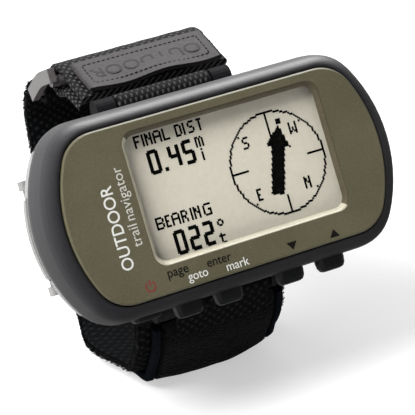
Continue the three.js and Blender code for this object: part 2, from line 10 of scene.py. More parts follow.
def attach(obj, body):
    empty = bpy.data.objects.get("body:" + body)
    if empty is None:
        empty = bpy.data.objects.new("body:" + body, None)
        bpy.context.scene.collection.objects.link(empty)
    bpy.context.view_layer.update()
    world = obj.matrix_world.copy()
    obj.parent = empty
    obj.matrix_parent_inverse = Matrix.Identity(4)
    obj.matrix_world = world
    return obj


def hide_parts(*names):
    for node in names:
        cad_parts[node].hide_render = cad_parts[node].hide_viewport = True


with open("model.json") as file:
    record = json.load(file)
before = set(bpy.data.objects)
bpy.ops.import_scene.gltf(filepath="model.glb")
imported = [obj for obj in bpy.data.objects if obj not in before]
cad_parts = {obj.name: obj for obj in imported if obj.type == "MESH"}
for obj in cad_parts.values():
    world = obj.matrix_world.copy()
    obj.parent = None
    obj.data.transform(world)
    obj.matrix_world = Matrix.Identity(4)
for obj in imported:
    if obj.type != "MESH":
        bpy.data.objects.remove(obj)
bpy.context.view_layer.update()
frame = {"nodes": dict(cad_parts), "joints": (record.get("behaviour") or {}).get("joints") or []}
random.seed(7)

# ---------------------------------------------------------------------------
# The unit's own frame: X along the display, Y towards its top edge and Z out of
# the display, in millimetres from the middle of the flat back. The battery
# door's hinge ties it to the row frame.
# ---------------------------------------------------------------------------
MM = 0.001
DOOR_HINGE = Vector((-35.9, 0, 1.3)) * MM
FACE_Z = 23.0

hinge = next(j for j in frame["joints"] if j["name"] == "battery_door_hinge")
unit_y = -Vector(hinge["axis"]).normalized()
unit_z = Vector((1, 0, 0)).cross(unit_y)
turn = Matrix(((1, 0, 0), unit_y, unit_z)).transposed()
UNIT = Matrix.Translation(Vector(hinge["pos_m"]) - turn @ DOOR_HINGE) @ turn.to_4x4()

UP = UNIT.to_3x3().transposed() @ Vector((0, 0, 1))
REST_HEIGHT = UNIT.translation.z / MM

# Strap paths in the unit's YZ plane: [y, z, corner radius], as in the CAD.
LONG_STRAP = [(-24.1, -3.5), (-28.8, -7.2, 10), (-35.9, -16.2, 2.5), (-24, -36.2, 5),
              (-16.6, -41.9, 8), (10, -43.4, 30), (28.8, -37, 11), (33.6, -29, 3), (32.4, -26.6)]
PAD = [(-26.2, -1.7), (-30.7, -5.3, 13), (-39.2, -16, 3.5), (-26.1, -38.6, 6), (-23.9, -40.1)]
TOP_STRAP = [(24.2, -4.6), (28.6, -10.2, 8), (29.2, -17, 2.6), (35.2, -16.8, 2.6), (34.4, -11, 6),
             (25.6, -0.8)]
LABEL = [(27.04, 0.44), (33.9, -7.5)]
HOOK_PATCH = [(25.9, -3.77), (29.5, -7.97)]
LOWER_FOLD = [(-24.4, 2.1), (-28.9, -1.5)]
UPPER_FOLD = [(23.4, 1.2), (24, -3.3)]

# Middles of the upper strap bar and of the ring's lower bar in the same plane, and the radii
# of the webbing folded round them. The lower strap bar mirrors the upper one.
BAR = Vector((22.6, 2.2))
EYE_RADIUS = 1.95
RING_BAR = Vector((31.2, -24.4))
RING_EYE_RADIUS = 2.35

WINDOW = {"x": 3.25, "y": 1.85, "width": 46.4, "height": 28.9, "corner": 3.0}

# The display picture is made of square dots, counted from the upper left corner. Each one
# grows by LCD_SPREAD of the pitch on every side, so that neighbours join.
LCD_TOP = 19.5
LCD_LIFT = 0.04
LCD_LEFT, LCD_HIGH = -17.0, 15.3
LCD_PITCH = 0.366
LCD_SPREAD = 0.14

# Above these angles between faces an edge stays sharp.
CAD_SHARP_ANGLE = math.radians(32)
PIECE_SHARP_ANGLE = math.radians(50)


# ---------------------------------------------------------------------------
# Materials
# ---------------------------------------------------------------------------
def shader_of(material):
    return material.node_tree.nodes["Principled BSDF"]


def new_material(name, colour, roughness, metallic=0.0, **sockets):
    material = bpy.data.materials.new(name)
    material.use_nodes = True
    shader = shader_of(material)
    shader.inputs["Base Color"].default_value = (*colour, 1)
    shader.inputs["Roughness"].default_value = roughness
    shader.inputs["Metallic"].default_value = metallic
    for socket, value in sockets.items():
        shader.inputs[socket.replace("_", " ")].default_value = value
    return material


def node(material, kind, **values):
    made = material.node_tree.nodes.new(kind)
    for key, value in values.items():
        if key in made.inputs:
            made.inputs[key].default_value = value
        else:
            setattr(made, key, value)
    return made


def link(material, source, target):
    material.node_tree.links.new(source, target)


def math_node(material, operation, first, second=None):
    made = node(material, "ShaderNodeMath", operation=operation)
    for socket, value in zip(made.inputs, (first, second)):
        if value is None:
            continue
        if isinstance(value, (int, float)):
            socket.default_value = value
        else:
            link(material, value, socket)
    return made.outputs[0]


def mix_colour(material, factor, dark, light, low=0.0, high=1.0):
    """Base colour that goes from dark to light while the factor goes from low to high."""
    ramp = node(material, "ShaderNodeValToRGB")
    first, last = ramp.color_ramp.elements
    first.color = (*dark, 1)
    last.color = (*light, 1)
    first.position = low
    last.position = high
    link(material, factor, ramp.inputs["Fac"])
    link(material, ramp.outputs["Color"], shader_of(material).inputs["Base Color"])


def mix_roughness(material, factor, low, high):
    """Roughness that wanders between low and high with the factor."""
    spread = node(material, "ShaderNodeMapRange")
    spread.inputs["To Min"].default_value = low
    spread.inputs["To Max"].default_value = high
    link(material, factor, spread.inputs["Value"])
    link(material, spread.outputs["Result"], shader_of(material).inputs["Roughness"])


def bump(material, height, distance, strength=1.0):
    made = node(material, "ShaderNodeBump", Distance=distance, Strength=strength)
    link(material, height, made.inputs["Height"])
    link(material, made.outputs["Normal"], shader_of(material).inputs["Normal"])


def noise_texture(material, scale, detail=4.0, roughness=0.6):
    place = node(material, "ShaderNodeTexCoord")
    texture = node(material, "ShaderNodeTexNoise", Scale=scale, Detail=detail, Roughness=roughness)
    link(material, place.outputs["Object"], texture.inputs["Vector"])
    return texture.outputs["Fac"]


def moulded(name, dark, light, roughness, grain=1800.0, depth=0.00004, **sockets):
    """Moulded plastic: a fine grain in colour and relief, with slow wear in the gloss."""
    wear_scale = 60.0
    grain_share, wear_share = 0.55, 0.45
    smoother, rougher = 0.05, 0.07
    relief = 0.4
    material = new_material(name, light, roughness, **sockets)
    fine = noise_texture(material, grain, 3.0)
    slow = noise_texture(material, wear_scale, 5.0)
    both = math_node(material, "ADD", math_node(material, "MULTIPLY", fine, grain_share),
                     math_node(material, "MULTIPLY", slow, wear_share))
    mix_colour(material, both, dark, light, 0.38, 0.62)
    mix_roughness(material, slow, roughness - smoother, roughness + rougher)
    bump(material, fine, depth, relief)
    return material


def metal(name, colour, roughness):
    """Rolled metal: faint scratches in colour and relief."""
    scratches = (400, 4000, 400)
    shade = 0.8
    material = new_material(name, colour, roughness, 1.0)
    place = node(material, "ShaderNodeTexCoord")
    stretch = node(material, "ShaderNodeMapping")
    stretch.inputs["Scale"].default_value = scratches
    texture = node(material, "ShaderNodeTexNoise", Scale=1.0, Detail=2.0)
    link(material, place.outputs["Object"], stretch.inputs["Vector"])
    link(material, stretch.outputs["Vector"], texture.inputs["Vector"])
    mix_colour(material, texture.outputs["Fac"], tuple(c * shade for c in colour), colour)
    bump(material, texture.outputs["Fac"], 0.00001, 0.3)
    return material


def woven(name, dark, light, pitch_along, pitch_across, depth=0.00035, **sockets):
    """Plain weave over the strap's own coordinates, in millimetres along and across, with the
    crests painted lighter as highlights and the hollows painted darker as shade.
    """
    wander = 0.9
    swell_share, over_share = 0.35, 0.65
    material = new_material(name, light, 0.85, **sockets)
    place = node(material, "ShaderNodeUVMap", uv_map="strap")
    split = node(material, "ShaderNodeSeparateXYZ")
    wobble = noise_texture(material, 350.0, 2.0)
    link(material, place.outputs["UV"], split.inputs["Vector"])
    shift = math_node(material, "MULTIPLY", math_node(material, "SUBTRACT", wobble, 0.5), wander)
    waves = []
    for axis, pitch in (("X", pitch_along), ("Y", pitch_across)):
        angle = math_node(material, "MULTIPLY", split.outputs[axis], math.pi / pitch)
        waves.append(math_node(material, "SINE", math_node(material, "ADD", angle, shift)))
    cell = math_node(material, "MULTIPLY", waves[0], waves[1])
    swell = math_node(material, "POWER", math_node(material, "ABSOLUTE", cell), 0.5)
    over = math_node(material, "MULTIPLY", math_node(material, "ADD", cell, 1.0), 0.5)
    height = math_node(material, "ADD", math_node(material, "MULTIPLY", swell, swell_share),
                       math_node(material, "MULTIPLY", over, over_share))
    # Painted highlight and shade: the crests take the light colour and the hollows the dark one,
    # on top of the relief below.
    mix_colour(material, height, dark, light, 0.35, 0.95)
    bump(material, height, depth)
    return material


def fibrous(name, dark, light, scale, depth):
    """Loop pile: small tangled knots with fluff between them."""
    knot_share, fluff_scale = 0.8, 1.7
    material = new_material(name, light, 0.95, Sheen_Weight=0.03, Sheen_Roughness=0.5,
                            Specular_IOR_Level=0.05)
    place = node(material, "ShaderNodeTexCoord")
    knots = node(material, "ShaderNodeTexVoronoi", Scale=scale)
    link(material, place.outputs["Object"], knots.inputs["Vector"])
    fluff = noise_texture(material, scale * fluff_scale)
    hollow = math_node(material, "MULTIPLY", knots.outputs["Distance"], knot_share)
    height = math_node(material, "SUBTRACT", fluff, hollow)
    mix_colour(material, height, dark, light, 0.15, 0.75)
    bump(material, height, depth)
    return material


def clear_window():
    """A clear pane with faint smears in its gloss."""
    smear_scale = 45.0
    material = new_material("clear_window", (0.02, 0.02, 0.018), 0.08, IOR=1.4, Alpha=0.05)
    mix_roughness(material, noise_texture(material, smear_scale, 3.0), 0.05, 0.12)
    return material


LOOKS = {
    "charcoal": moulded("charcoal", (0.009, 0.009, 0.0115), (0.015, 0.014, 0.0165), 0.5,
                        Specular_IOR_Level=0.75),
    "back_shell": moulded("back_shell", (0.008, 0.008, 0.009), (0.013, 0.013, 0.0145), 0.7,
                          1200.0, 0.00008, Specular_IOR_Level=0.06),
    "door": moulded("door_grey", (0.25, 0.25, 0.245), (0.32, 0.315, 0.31), 0.5,
                    Specular_IOR_Level=0.3),
    "olive": moulded("olive", (0.076, 0.068, 0.038), (0.103, 0.093, 0.054), 0.5, 2600.0),
    "lcd": moulded("lcd", (0.62, 0.585, 0.485), (0.67, 0.632, 0.525), 0.5, 900.0, 0.00001),
    "ink": moulded("lcd_ink", (0.001, 0.001, 0.001), (0.002, 0.002, 0.002), 0.8,
                   Specular_IOR_Level=0.0),
    # The window rim's two colours are lit and shaded copies of one rim: the pale one is a painted
    # highlight, the dark one painted shade.
    "rim_painted_lit_side": moulded("window_rim_painted_lit_side", (0.40, 0.375, 0.285), (0.48, 0.45, 0.345), 0.35),
    "rim_painted_shade_side": moulded("window_rim_painted_shade_side", (0.055, 0.045, 0.026), (0.085, 0.071, 0.042), 0.4),
    "white": moulded("white_plastic", (0.6, 0.6, 0.57), (0.7, 0.7, 0.66), 0.5),
    "board": moulded("circuit_board", (0.01, 0.05, 0.02), (0.02, 0.09, 0.035), 0.35),
    "ceramic": moulded("antenna_ceramic", (0.4, 0.33, 0.2), (0.5, 0.42, 0.27), 0.6),
    "black": moulded("black_plastic", (0.008, 0.008, 0.009), (0.014, 0.014, 0.015), 0.5),
    "rubber": moulded("black_rubber", (0.005, 0.0055, 0.007), (0.008, 0.0085, 0.010), 0.34,
                      1500.0, Specular_IOR_Level=0.35),
    "steel": metal("steel", (0.55, 0.55, 0.57), 0.3),
    "dark_steel": metal("dark_steel", (0.02, 0.02, 0.022), 0.45),
    "cell": moulded("cell_sleeve", (0.20, 0.12, 0.03), (0.28, 0.17, 0.05), 0.3, 900.0),
    "ring": moulded("ring_plastic", (0.085, 0.078, 0.078), (0.115, 0.106, 0.106), 0.28,
                    700.0, 0.00003),
    "label": moulded("label_rubber", (0.030, 0.027, 0.028), (0.048, 0.043, 0.044), 0.55,
                     1100.0, 0.00008, Specular_IOR_Level=0.12),
    "pressed": moulded("label_pressed", (0.014, 0.013, 0.0135), (0.022, 0.020, 0.021), 0.55,
                       Specular_IOR_Level=0.1),
    "binding": moulded("binding", (0.0025, 0.003, 0.004), (0.006, 0.007, 0.009), 0.8,
                       2500.0, 0.00008, Specular_IOR_Level=0.0),
    # In the weaves the light colour is a painted highlight on the thread crests, and the dark
    # colour is painted shade in the hollows.
    "webbing": woven("webbing", (0.002, 0.002, 0.0025), (0.075, 0.074, 0.074), 0.9, 0.85,
                     Specular_IOR_Level=0.15),
    "coarse_webbing": woven("coarse_webbing", (0.0015, 0.0018, 0.0022), (0.010, 0.0105, 0.0115),
                            1.1, 1.1, 0.0006, Specular_IOR_Level=0.1),
    "ribbed_webbing": woven("ribbed_webbing", (0.002, 0.002, 0.0025), (0.060, 0.060, 0.060),
                            1.0, 0.65, Specular_IOR_Level=0.15),
    "pile": fibrous("loop_pile", (0.0008, 0.001, 0.0013), (0.0042, 0.005, 0.006), 1600.0, 0.0006),
    "thread": moulded("thread", (0.006, 0.006, 0.006), (0.014, 0.014, 0.014), 0.7,
                      Specular_IOR_Level=0.2),
    "print_white": moulded("print_white", (0.56, 0.56, 0.53), (0.64, 0.64, 0.60), 0.5),
    "print_grey": moulded("print_grey", (0.42, 0.41, 0.37), (0.50, 0.49, 0.44), 0.5),
    "print_dark": moulded("print_dark", (0.005, 0.0045, 0.004), (0.010, 0.009, 0.008), 0.6,
                          Specular_IOR_Level=0.1),
    "print_red": moulded("print_red", (0.165, 0.020, 0.017), (0.215, 0.028, 0.024), 0.5),
    "window": clear_window(),
}
EARS_END = -0.0351
EARS_GREY = (0.28, 0.278, 0.272, 1)
CASE_ROUNDING = 0.0013


def lighten_ears(material):
    """The hinge ears at the end of the back shell are moulded in the door's grey."""
    place = node(material, "ShaderNodeTexCoord")
    split = node(material, "ShaderNodeSeparateXYZ")
    link(material, place.outputs["Object"], split.inputs["Vector"])
    beyond = math_node(material, "LESS_THAN", split.outputs["X"], EARS_END)
    base = shader_of(material).inputs["Base Color"]
    shell = base.links[0].from_socket
    # The mix node's float, vector and colour sockets share their names, so these go by number.
    colour_a, colour_b, colour_result = 6, 7, 2
    mix = node(material, "ShaderNodeMix", data_type="RGBA")
    link(material, beyond, mix.inputs["Factor"])
    link(material, shell, mix.inputs[colour_a])
    mix.inputs[colour_b].default_value = EARS_GREY
    link(material, mix.outputs[colour_result], base)


def soften_facets(material, radius):
    """Rounded shading normals, so that the turned edges of the case show no steps."""
    rounded = node(material, "ShaderNodeBevel", samples=6)
    rounded.inputs["Radius"].default_value = radius
    relief = shader_of(material).inputs["Normal"].links[0].from_node
    link(material, rounded.outputs["Normal"], relief.inputs["Normal"])


lighten_ears(LOOKS["back_shell"])
soften_facets(LOOKS["charcoal"], CASE_ROUNDING)

NODE_LOOKS = {
    "charcoal": ["upper_housing"],
    "back_shell": ["lower_housing"],
    "door": ["battery_door", "door_latch"],
    "olive": ["face_plate"],
    "lcd": ["lcd_panel"],
    "white": ["backlight", "lcd_frame", "receiver_module"],
    "board": ["main_board", "key_board"],
    "ceramic": ["patch_antenna"],
    "black": ["processor", "beeper", "compass_module"],
    "rubber": ["housing_seal", "door_seal", "socket_cap"],
    "cell": ["battery_1", "battery_2"],
    "ring": ["strap_ring"],
    "window": ["display_window"],
    "dark_steel": ["strap_bar_top", "strap_bar_bottom"],
}


def node_look(name):
    """The finish of a CAD node: by its name, or else by what kind of part it is."""
    for look, names in NODE_LOOKS.items():
        if name in names:
            return look
    if name.endswith("_button"):
        return "rubber"
    return "black" if name.endswith("_switch") else "steel"


def dress_cad_nodes():
    """Every carried-over CAD node gets its finish and smooth shading over its rounds."""
    for name, obj in frame["nodes"].items():
        mesh = obj.data
        mesh.materials.clear()
        mesh.materials.append(LOOKS[node_look(name)])
        mesh.shade_smooth()
        mesh.set_sharp_from_angle(angle=CAD_SHARP_ANGLE)


# ---------------------------------------------------------------------------
# Mesh helpers
# ---------------------------------------------------------------------------
def add_to_scene(name, data):
    obj = bpy.data.objects.new(name, data)
    bpy.context.scene.collection.objects.link(obj)
    return obj


def piece(name, points, faces, look, body="case", smooth=True, uvs=None):
    """A mesh from points in the unit's frame, in millimetres, riding on a CAD body."""
    mesh = bpy.data.meshes.new(name)
    mesh.from_pydata([tuple(UNIT @ (Vector(p) * MM)) for p in points], [], faces)
    if uvs is not None:
        layer = mesh.uv_layers.new(name="strap")
        for loop in mesh.loops:
            layer.data[loop.index].uv = uvs[loop.vertex_index]
    mesh.materials.append(LOOKS[look])
    if smooth:
        mesh.shade_smooth()
        mesh.set_sharp_from_angle(angle=PIECE_SHARP_ANGLE)
    mesh.update()
    obj = add_to_scene(name, mesh)
    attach(obj, body)
    return obj


def rounded_path(points, step=0.5):
    """Straight runs and round corners, as evenly spaced points in the YZ plane."""
    corner_steps = 16
    path = [Vector(points[0][:2])]
    for before, here, after in zip(points, points[1:], points[2:]):
        corner = Vector(here[:2])
        back = (Vector(before[:2]) - corner).normalized()
        on = (Vector(after[:2]) - corner).normalized()
        half = math.acos(max(-1.0, min(1.0, back.dot(on)))) / 2
        centre = corner + (back + on).normalized() * (here[2] / math.sin(half))
        reach = here[2] / math.tan(half)
        start = corner + back * reach - centre
        stop = corner + on * reach - centre
        sweep = start.angle_signed(stop)
        for k in range(corner_steps + 1):
            angle = -sweep * k / corner_steps
            turned = Vector((start.x * math.cos(angle) - start.y * math.sin(angle),
                             start.x * math.sin(angle) + start.y * math.cos(angle)))
            path.append(centre + turned)
    path.append(Vector(points[-1][:2]))
    return resample(path, step)


def resample(path, step):
    """The same path in equal steps, as near to the wanted step as they come."""
    lengths = [0.0]
    for a, b in zip(path, path[1:]):
        lengths.append(lengths[-1] + (b - a).length)
    count = max(2, round(lengths[-1] / step))
    out, k = [], 0
    for i in range(count + 1):
        want = lengths[-1] * i / count
        while k < len(lengths) - 2 and lengths[k + 1] < want:
            k += 1
        span = lengths[k + 1] - lengths[k] or 1.0
        out.append(path[k].lerp(path[k + 1], (want - lengths[k]) / span))
    return out


def path_normals(path):
    normals = []
    for i in range(len(path)):
        along = (path[min(i + 1, len(path) - 1)] - path[max(i - 1, 0)]).normalized()
        normals.append(Vector((-along.y, along.x)))
    return normals


def walk(path):
    """For each point of a path: its distance from the start, the point and its normal."""
    travelled = 0.0
    for i, (point, normal) in enumerate(zip(path, path_normals(path))):
        travelled += (point - path[i - 1]).length if i else 0.0
        yield travelled, point, normal


def tube_faces(rings, around):
    """Quads that join rings of points into a tube, with a cap on each end."""
    faces = []
    for i in range(rings - 1):
        for j in range(around):
            a, b = i * around + j, i * around + (j + 1) % around
            faces.append((a, b, b + around, a + around))
    last = (rings - 1) * around
    faces.append(tuple(range(around))[::-1])
    faces.append(tuple(range(last, last + around)))
    return faces


def section(half_width, thickness, edge):
    """The outline of a strap's cross section: (across, through) with rounded edges."""
    step, turn_points = 0.9, 4
    flat = half_width - edge
    count = max(2, round(2 * flat / step))
    top = [(-flat + 2 * flat * i / count, thickness / 2) for i in range(count + 1)]
    right = [(flat + edge * math.sin(math.pi * k / turn_points),
              thickness / 2 * math.cos(math.pi * k / turn_points)) for k in range(1, turn_points)]
    bottom = [(x, -y) for x, y in reversed(top)]
    left = [(-x, y) for x, y in reversed(right)]
    return top + right + bottom + left


# How the lower front of the strap really lies, in millimetres in the unit's frame. It is
# lifted where it is in front of FRONT and lower over the floor than LOW, each counting more
# and more over its reach: a little all over, and more towards both side edges.
FRONT, FRONT_REACH = -26.0, 11.0
LOW, LOW_REACH = 17.0, 14.0
LIFT_ALL = 0.4
LIFT_RIGHT, RIGHT_WIDTH, RIGHT_POWER = 3.3, 15.8, 2.6
LIFT_LEFT, LEFT_FROM, LEFT_WIDTH, LEFT_POWER = 1.5, -3.0, 12.8, 1.2
# Its left side sags outwards round one spot, and its left edge goes out a little all the
# way, except at the ring. The top strap, beyond TOP_STRAP_Y and TOP_STRAP_Z, keeps its edge.
SAG, SAG_FROM, SAG_WIDTH = 3.4, 8.0, 9.0
SAG_Y, SAG_Z, SAG_AREA = -27.5, -29.0, 110.0
EDGE_FROM, EDGE_WIDTH, RING_AREA = 15.2, 2.2, 30.0
TOP_STRAP_Y, TOP_STRAP_Z = 20, -18


def part_of(value):
    """The value, held between 0 and 1."""
    return min(1.0, max(0.0, value))


def settle(x, y, z):
    """Where a point of the strap comes to lie: lifted and pushed out, as the numbers above say."""
    height = y * UP.y + z * UP.z + REST_HEIGHT
    front = part_of((FRONT - y) / FRONT_REACH)
    low = part_of((LOW - height) / LOW_REACH)
    low = low * low * (3 - 2 * low)
    right = LIFT_RIGHT * max(0.0, x / RIGHT_WIDTH) ** RIGHT_POWER
    left = LIFT_LEFT * max(0.0, (LEFT_FROM - x) / LEFT_WIDTH) ** LEFT_POWER
    lift = (LIFT_ALL + right + left) * (front * low)
    from_spot = (y - SAG_Y) ** 2 + (z - SAG_Z) ** 2
    bulge = SAG * max(0.0, (-x - SAG_FROM) / SAG_WIDTH) * math.exp(-from_spot / SAG_AREA)
    if y < TOP_STRAP_Y or z < TOP_STRAP_Z:
        from_ring = (y - RING_BAR.x) ** 2 + (z - RING_BAR.y) ** 2
        clear_of_ring = 1 - math.exp(-from_ring / RING_AREA)
        bulge += part_of((-x - EDGE_FROM) / EDGE_WIDTH) * clear_of_ring
    return x - bulge, y + UP.y * lift, z + UP.z * lift


def strap(name, points, thickness, half_width, look, centre_x=0.0, step=0.5, edge=0.5,
          ripple=0.08, shape=None):
    """A strap along a path of runs and corners, with lumps, a frayed edge and its settling.

    shape(along, across) may add a lift in millimetres."""
    path = rounded_path(points, step)
    outline = section(half_width, thickness, edge)
    verts, uvs = [], []
    for travelled, point, normal in walk(path):
        for across, through in outline:
            lump = noise.noise(Vector((travelled * 0.35, across * 0.3, thickness))) * ripple
            frayed = noise.noise(Vector((travelled * 1.9, across, 3.0))) * ripple * 1.6
            side = across + (frayed if abs(across) > half_width - edge - 0.01 else 0.0)
            lift = shape(travelled, across) if shape else 0.0
            at = point + normal * (through + lump * (1 if through > 0 else -1) + lift)
            verts.append(settle(side + centre_x, at.x, at.y))
            uvs.append((travelled, across + through))
    return piece(name, verts, tube_faces(len(path), len(outline)), look, uvs=uvs)


def loop_path(centre, radius, start, stop):
    """Points round a bar, in steps of twelve degrees."""
    return [(centre.x + radius * math.cos(math.radians(a)),
             centre.y + radius * math.sin(math.radians(a))) for a in range(start, stop + 1, 12)]


def folded_strap(name, points, thickness, half_width, look):
    """Webbing that is held tight round a bar, along ready-made points."""
    step, edge, ripple = 0.4, 0.35, 0.06
    path = resample([Vector(p) for p in points], step)
    outline = section(half_width, thickness, edge)
    verts, uvs = [], []
    for travelled, point, normal in walk(path):
        for across, through in outline:
            lump = noise.noise(Vector((travelled * 0.5, across * 0.4, 1))) * ripple
            at = point + normal * (through + lump)
            verts.append((across, at.x, at.y))
            uvs.append((travelled, across + through))
    return piece(name, verts, tube_faces(len(path), len(outline)), look, uvs=uvs)


def add_fibre(verts, faces, root, out, lean, tall, width, bend):
    """A flat curled fibre: from its root to its middle, which is bend[0] of its length out and
    bend[1] along its lean, and to its tip at bend[2] and bend[3]."""
    across = lean.cross(out).normalized() * width / 2
    middle = root + out * tall * bend[0] + lean * tall * bend[1]
    tip = root + out * tall * bend[2] + lean * tall * bend[3]
    at = len(verts)
    corners = (root - across, root + across, middle + across, middle - across, tip)
    verts += [settle(*corner) for corner in corners]
    faces += [(at, at + 1, at + 2, at + 3), (at + 3, at + 2, at + 4)]


def random_stand(path):
    """A random place on a path: its point, its normal and its run, the last two in 3-D."""
    i = random.randrange(1, len(path) - 1)
    normal = path_normals(path[i - 1:i + 2])[1]
    return path[i], Vector((0, normal.x, normal.y)), Vector((0, normal.y, -normal.x))


def surface_fuzz(name, points, offset, spans, count, length, look, width=0.14):
    """Curled fibres standing on a strap's surface, within the given spans across it."""
    path = rounded_path(points, 0.4)
    verts, faces = [], []
    for _ in range(count):
        base, out, run = random_stand(path)
        low, high = random.choice(spans)
        x = random.uniform(low, high)
        root = Vector((x, base.x, base.y)) + out * offset
        lean = Vector((random.uniform(-1, 1), 0, 0)) + run * random.uniform(-1, 1)
        tall = length * random.uniform(0.5, 1.0)
        add_fibre(verts, faces, root, out, lean, tall, width, (0.6, 0.35, 0.75, 0.9))
    return piece(name, verts, faces, look, smooth=False)


def edge_fuzz(name, points, x, side, count, length, thickness, look, width=0.2):
    """Curled fibres along one side edge of a strap."""
    path = rounded_path(points, 0.4)
    verts, faces = [], []
    for _ in range(count):
        base, normal, run = random_stand(path)
        offset = random.uniform(-thickness / 2, thickness / 2)
        root = Vector((x, base.x, base.y)) + normal * offset
        lean = run * random.uniform(-1, 1) + normal * random.uniform(-1, 1)
        tall = length * random.uniform(0.4, 1.0)
        out = Vector((side, 0, 0))
        add_fibre(verts, faces, root, out, lean, tall, width, (0.7, 0.4, 0.8, 0.9))
    return piece(name, verts, faces, look, smooth=False)


# ---------------------------------------------------------------------------
# Display picture
# ---------------------------------------------------------------------------
SMALL_GLYPHS = {
    "A": "01110 10001 10001 11111 10001 10001 10001",
    "B": "11110 10001 10001 11110 10001 10001 11110",
    "D": "1110 1001 1001 1001 1001 1001 1110", "E": "111 100 100 110 100 100 111",
    "F": "1111 1000 1000 1110 1000 1000 1000", "G": "01111 10000 10000 10011 10001 10001 01111",
    "I": "1 1 1 1 1 1 1", "L": "1000 1000 1000 1000 1000 1000 1111",
    "N": "1001 1101 1101 1011 1001 1001 1001", "R": "1110 1001 1001 1110 1010 1001 1001",
    "S": "0111 1000 1000 0110 0001 0001 1110", "T": "111 010 010 010 010 010 010",
    "W": "10001 10001 10001 10101 10101 11011 10001",
    "m": "11010 10101 10101 10101 10101 10101", "i": "1 0 1 1 1 1 1",
    "o": "0110 1001 1001 0110", "t": "0100 1111 0100 0100 0100 0011",
}
# Big figures are built from seven bars, two dots wide, in a box 7 dots wide and 14 tall.
FIGURE_BARS = {
    "top": (1, 0, 6, 2), "middle": (1, 6, 6, 8), "bottom": (1, 12, 6, 14),
    "upper_left": (0, 1, 2, 7), "upper_right": (5, 1, 7, 7),
    "lower_left": (0, 7, 2, 13), "lower_right": (5, 7, 7, 13),
}
FIGURES = {
    "0": ("top", "upper_left", "upper_right", "lower_left", "lower_right", "bottom"),
    "2": ("top", "upper_right", "middle", "lower_left", "bottom"),
    "4": ("upper_left", "upper_right", "middle", "lower_right"),
    "5": ("top", "upper_left", "middle", "lower_right", "bottom"),
}
COMPASS = {"column": 85, "row": 38, "radius": 30, "tick": 10, "long_tick": 16,
           "diagonal": (20, 21), "course": (6, 22, 3)}
COMPASS_LETTERS = {"S": (-18, 19), "W": (13, 20), "E": (-18, -12), "N": (13, -13)}
HEADING = math.radians(17)
ARROW = {"tail": -18.6, "neck": 9.5, "tip": 21, "shaft": 4.0, "slope": 0.62, "tip_width": 0.5}


# What the display says: each text, the columns of its characters and its top row.
CAPTIONS = [
    ("FINALDIST", (3, 8, 10, 15, 21, 29, 34, 37, 43), 1), ("m", (39,), 11), ("i", (41,), 18),
    ("BEARING", (2, 8, 12, 18, 24, 26, 32), 49), ("o", (38,), 60), ("t", (37,), 68),
]
READINGS = [("045", (8, 21, 30), 11), ("022", (10, 19, 28), 59)]
DECIMAL_POINT = (17, 23, 2)


def write_small(dots, text, columns, row):
    for character, column in zip(text, columns):
        for r, line in enumerate(SMALL_GLYPHS[character].split()):
            dots.update((column + c, row + r) for c, bit in enumerate(line) if bit == "1")


def write_figures(dots, text, columns, row):
    for character, column in zip(text, columns):
        for bar in FIGURES[character]:
            left, top, right, bottom = FIGURE_BARS[bar]
            dots.update((column + c, row + r)
                        for c in range(left, right) for r in range(top, bottom))


def write_block(dots, column, row, size):
    dots.update((column + c, row + r) for c in range(size) for r in range(size))


def ring_dots(radius):
    """The dots of a thin circle, one per step along its flatter direction."""
    found = set()
    for k in range(radius + 1):
        other = round(math.sqrt(radius * radius - k * k))
        if k <= other:
            for a, b in ((k, other), (other, k)):
                found |= {(a, b), (-a, b), (a, -b), (-a, -b)}
    return found


def compass_dots(dots):
    """A ring with ticks, four letters, a square course mark and a stepped arrow."""
    radius, tick = COMPASS["radius"], COMPASS["tick"]
    found = ring_dots(radius)
    for k in range(radius - tick, radius):
        found |= {(k, 0), (-k, 0), (0, -k)}
    found |= {(0, k) for k in range(radius - COMPASS["long_tick"], radius)}
    for k in COMPASS["diagonal"]:
        found |= {(k, k), (-k, k), (k, -k), (-k, -k)}
    for x in range(-radius, radius + 1):
        for y in range(-radius, radius + 1):
            across = x * math.cos(HEADING) - y * math.sin(HEADING)
            along = x * math.sin(HEADING) + y * math.cos(HEADING)
            half_head = ARROW["tip_width"] + (ARROW["tip"] - along) * ARROW["slope"]
            shaft = abs(across) < ARROW["shaft"] and ARROW["tail"] < along < ARROW["neck"]
            head = abs(across) < half_head and ARROW["neck"] <= along < ARROW["tip"]
            if shaft or head:
                found.add((x, y))
    write_block(found, *COMPASS["course"])
    column, row = COMPASS["column"], COMPASS["row"]
    dots.update((column + x, row - y) for x, y in found)
    for letter, (x, y) in COMPASS_LETTERS.items():
        write_small(dots, letter, [column + x], row - y)


def display_picture():
    """The picture on the display: two captions, two figures with units and the compass."""
    dots = set()
    for caption in CAPTIONS:
        write_small(dots, *caption)
    for reading in READINGS:
        write_figures(dots, *reading)
    write_block(dots, *DECIMAL_POINT)
    compass_dots(dots)
    verts, faces = [], []
    low, high = -LCD_SPREAD, 1 + LCD_SPREAD
    for column, row in sorted(dots):
        x, y = LCD_LEFT + column * LCD_PITCH, LCD_HIGH - row * LCD_PITCH
        at = len(verts)
        for dx, dy in ((low, -high), (high, -high), (high, -low), (low, -low)):
            verts.append((x + dx * LCD_PITCH, y + dy * LCD_PITCH, LCD_TOP + LCD_LIFT))
        faces.append((at, at + 1, at + 2, at + 3))
    piece("display_picture", verts, faces, "ink", smooth=False)


def rounded_rectangle(width, height, radius, x, y, steps):
    """Points round a rectangle: lower right, upper right, upper left and lower left corner."""
    points = []
    for cx, cy, start in ((1, -1, -90), (1, 1, 0), (-1, 1, 90), (-1, -1, 180)):
        for k in range(steps + 1):
            angle = math.radians(start + 90 * k / steps)
            points.append((x + cx * (width / 2 - radius) + radius * math.cos(angle),
                           y + cy * (height / 2 - radius) + radius * math.sin(angle)))
    return points


